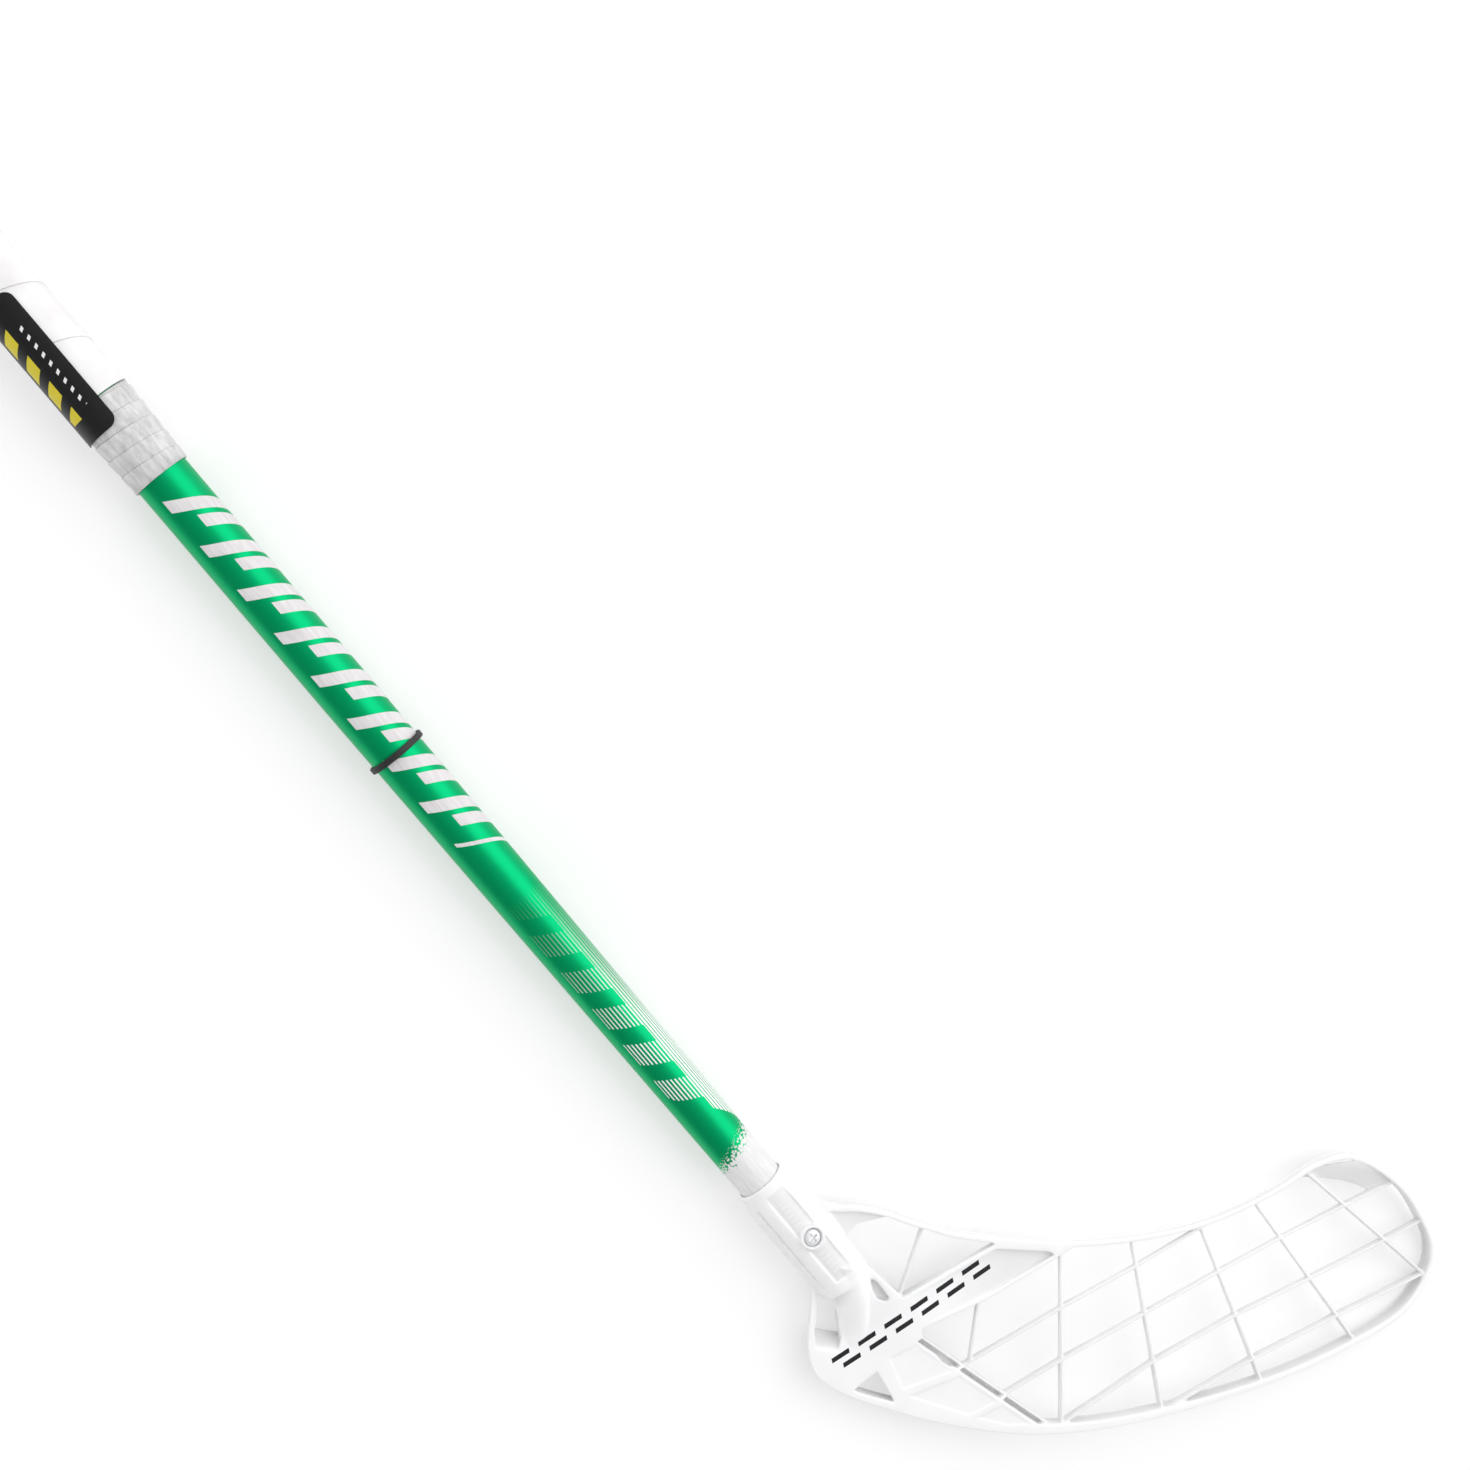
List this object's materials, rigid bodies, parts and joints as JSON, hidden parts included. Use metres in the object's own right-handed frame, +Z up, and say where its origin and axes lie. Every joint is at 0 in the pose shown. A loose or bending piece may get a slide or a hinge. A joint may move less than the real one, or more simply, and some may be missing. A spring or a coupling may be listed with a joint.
{
  "type": "floorball stick",
  "caption": "Floorball stick: a tapered composite shaft with a wound grip, a sliding rubber ring and an open ribbed blade screwed to its end.",
  "frame": {"origin": "middle of the lying stick's box, on the floor that it rests on", "axes": "+X along the shaft from the butt to the blade, +Y to the side of the blade's tip, +Z up, out of the blade's rounded side"},
  "size_m": [1.039, 0.2448, 0.0276],
  "materials": {
    "green_lacquer": "lacquered fibre composite, glossy",
    "white_plastic": "moulded, satin",
    "white_grip": "soft foamed band, matt",
    "white_tape": "smooth adhesive tape",
    "black_label": "printed film, satin",
    "black_rubber": "matt rubber",
    "black_plastic": "moulded, fine grain",
    "zinc_steel": "zinc plated"
  },
  "bodies": {
    "stick": {"shaft_tube": "green_lacquer", "end_cap": "black_plastic", "grip_wrap": "white_grip", "finishing_tape": "white_tape", "grip_label": "black_label", "blade": "white_plastic", "blade_screw": "zinc_steel"},
    "ring": {"rubber_ring": "black_rubber"}
  },
  "joints": [
    {"name": "ring_slide", "type": "slide", "parent": "stick", "child": "ring", "axis": [1, 0, -0.0019], "range_m": [-0.1362, 0.2282]}
  ]
}
